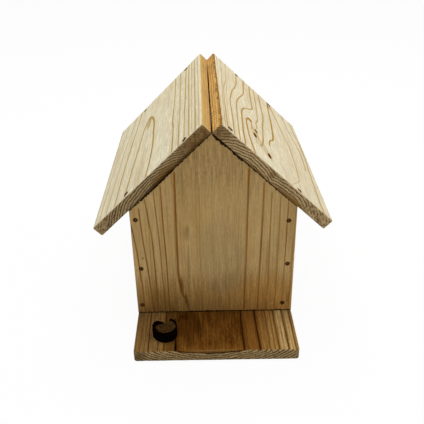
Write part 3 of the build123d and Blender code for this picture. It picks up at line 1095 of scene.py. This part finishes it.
BARK_CRACK = (0.0012, 0.0004, 0.0001)
BARK_RIDGE = (0.004, 0.0015, 0.0005)
LICHEN = (0.01, 0.0045, 0.002)
bark, spot = surface("bark")
upright = spot.node("Mapping", {}, {"Vector": spot, "Scale": (1.0, 1.0, 0.3)})
crack = spot.node("TexNoise", {}, {"Vector": upright, "Scale": 700.0, "Detail": 4.0, "Roughness": 0.65})
growth = spot.node("TexNoise", {}, {"Vector": spot, "Scale": 330.0, "Detail": 3.0})
dark = crack.rise(0.4, 0.68).mix(BARK_CRACK, BARK_RIDGE)
dark = (growth.rise(0.6, 0.75) * 0.4).mix(dark, LICHEN)
coat(bark, dark, 0.95 - crack * 0.25, crack + growth * 0.5, strength=0.8, height=0.8, shine=0.01)
dress(bark_piece, bark, "bark", "log_bark")

WORN_SHARE = 0.97  # the sawn face is this much smaller, inside its worn rim
FACE_STEP = 0.9
ring_line = flowing(WOOD_OUTLINE, WOOD_STEPS, closed=True)
count = len(ring_line)
rings = [(1.0, BOARD), (1.0, WOOD_TOP - 1.5), (1.0, WOOD_TOP - 0.35), (WORN_SHARE, WOOD_TOP - 0.05)]
verts = []
for share, height in rings:
    for point in ring_line:
        place = LOG_MIDDLE + point * share
        verts.append(Vector((place.x, place.y, height)) * MM)
faces = tube(0, len(rings), count)
faces.append(list(range(count)))
points = [LOG_MIDDLE + point * WORN_SHARE for point in ring_line]
for i in range(-14, 15):
    for j in range(-12, 13):
        p = Vector((i * FACE_STEP, j * FACE_STEP))
        if min((p - q * WORN_SHARE).length for q in ring_line) > 0.6:
            points.append(LOG_MIDDLE + p)
flat, _, triangles, origins, _, _ = geometry.delaunay_2d_cdt(points, [], [list(range(count))], 1, 1e-5)
index = []
top_ring = (len(rings) - 1) * count
for p, from_points in zip(flat, origins):
    if from_points[0] < count:
        index.append(top_ring + from_points[0])
        continue
    index.append(len(verts))
    sunk = 0.18 + 0.16 * noise.noise(Vector((p.x * 0.8, p.y * 0.8, 3.0)))
    verts.append(Vector((p.x, p.y, WOOD_TOP - sunk)) * MM)
faces += [[index[k] for k in triangle] for triangle in triangles]
slice_piece = new_piece("log_slice_piece", verts, faces)
close_up(slice_piece.data)

BRANCH_PALE = (0.10, 0.05, 0.0105)
BRANCH_DARK = (0.02, 0.0075, 0.0012)
BRANCH_RIM = (0.085, 0.047, 0.016)
BRANCH_PIT = (0.004, 0.0015, 0.0005)
RING_SPACING = 1.25
branch_heart = Vector((LOG_MIDDLE.x - 1.0, LOG_MIDDLE.y - 1.5, BARK_TOP)) * MM
branch_wood, spot = surface("branch_wood")
from_heart = spot.node("VectorMath", {"operation": "SUBTRACT"}, {0: spot, 1: branch_heart})
flat_out = spot.node("VectorMath", {"operation": "MULTIPLY"}, {0: from_heart, 1: (1.0, 1.25, 0.0)})
radius = spot.node("VectorMath", {"operation": "LENGTH"}, {0: flat_out}, 1) / MM
mottle = spot.node("TexNoise", {}, {"Vector": spot, "Scale": 650.0, "Detail": 4.0, "Roughness": 0.7})
year = ((radius + mottle * 0.9) / RING_SPACING).math("FRACT")
ringed = (year.rise(0.2, 0.9) * 0.5 + (mottle - 0.5) * 3.0 + 0.35).rise(0.0, 1.0)
sawn = ringed.mix(BRANCH_PALE, BRANCH_DARK)
sawn = (radius.rise(8.0, 10.5) * 0.4).mix(sawn, BRANCH_RIM)
pits = spot.node("TexNoise", {}, {"Vector": spot, "Scale": 1100.0, "Detail": 2.0})
sawn = (pits.rise(0.56, 0.66) * 0.8).mix(sawn, BRANCH_PIT)
coat(branch_wood, sawn, 0.75 + mottle * 0.2, mottle, strength=0.6, height=0.5, shine=0.05)
dress(slice_piece, branch_wood, "branch_wood", "log_slice")


# Studio
# A plain white floor, soft light from above and a camera where the photograph was taken.

GROUND = 6.0  # half its width, in metres
PAPER = (0.86, 0.86, 0.86, 1.0)
level = floor_low.z
ground_corners = [(-GROUND, -GROUND), (GROUND, -GROUND), (GROUND, GROUND), (-GROUND, GROUND)]
ground = new_piece("ground", [(x, y, level) for x, y in ground_corners], [(0, 1, 2, 3)])


def looked_at(tree):
    """1 where the camera sees a surface, straight or by way of metal or glass, and 0 for its light."""
    ways = ("Is Camera Ray", "Is Glossy Ray", "Is Transmission Ray")
    return strongest([Shade(tree).node("LightPath", {}, {}, way) for way in ways])


paper = bpy.data.materials.new("paper")
paper.use_nodes = True
tree = paper.node_tree
matt = tree.nodes["Principled BSDF"]
matt.inputs["Base Color"].default_value = PAPER
matt.inputs["Roughness"].default_value = 0.9
glow = Shade(tree).node("Emission", {}, {})
blend = glow.node("MixShader", {}, {0: looked_at(tree) * 0.95, 1: Shade(tree, matt.outputs[0]), 2: glow})
tree.links.new(blend.socket, tree.nodes["Material Output"].inputs["Surface"])
ground.data.materials.append(paper)

AMBIENT = 0.36
world = bpy.data.worlds.new("studio")
bpy.context.scene.world = world
world.use_nodes = True
sky = world.node_tree
sky_light = sky.nodes["Background"]
sky.links.new((looked_at(sky) * (1 - AMBIENT) + AMBIENT).socket, sky_light.inputs["Strength"])
sky_light.inputs["Color"].default_value = (1.0, 1.0, 1.0, 1.0)


def softbox(name, place, aim, size, power):
    """A square soft lamp that faces a point."""
    lamp = bpy.data.lights.new(name, "AREA")
    lamp.size = size
    lamp.energy = power
    holder = bpy.data.objects.new(name, lamp)
    holder.location = place
    holder.rotation_euler = (Vector(aim) - Vector(place)).to_track_quat("-Z", "Y").to_euler()
    bpy.context.scene.collection.objects.link(holder)


softbox("overhead", (0.05, 0.35, 1.7), (0, 0.05, 0.15), 1.3, 24)
softbox("front_fill", (-0.5, -1.6, 0.9), (0, 0, 0.1), 1.2, 2)
softbox("right_fill", (1.4, -0.5, 1.0), (0, 0, 0.15), 1.0, 2.2)

# The photograph's camera, from the corners of the boards in it. The last three are in its pixels.
CAMERA_PLACE = Vector((-9.244, -562.356, 398.351)) * MM
YAW = math.radians(-1.81)
DOWN = math.radians(28.06)
ROLL = math.radians(-2.25)
PHOTO = 424.0
FOCAL = 564.41
MIDDLE = (187.06, 196.64)
forward = Vector((math.sin(YAW) * math.cos(DOWN), math.cos(YAW) * math.cos(DOWN), -math.sin(DOWN)))
level_right = Vector((math.cos(YAW), -math.sin(YAW), 0))
level_up = level_right.cross(forward)
right = level_right * math.cos(ROLL) + level_up * math.sin(ROLL)
up = level_up * math.cos(ROLL) - level_right * math.sin(ROLL)
camera = bpy.data.objects.new("camera", bpy.data.cameras.new("camera"))
camera.data.lens = camera.data.sensor_width * FOCAL / PHOTO
camera.data.shift_x = (PHOTO / 2 - MIDDLE[0]) / PHOTO
camera.data.shift_y = (MIDDLE[1] - PHOTO / 2) / PHOTO
camera.data.clip_start = 0.01
turned = camera.matrix_world.copy()
for column, axis in enumerate((right, up, -forward)):
    for row in range(3):
        turned[row][column] = axis[row]
turned.translation = CAMERA_PLACE
camera.matrix_world = turned
bpy.context.scene.collection.objects.link(camera)
bpy.context.scene.camera = camera
bpy.context.scene.view_settings.view_transform = "Standard"
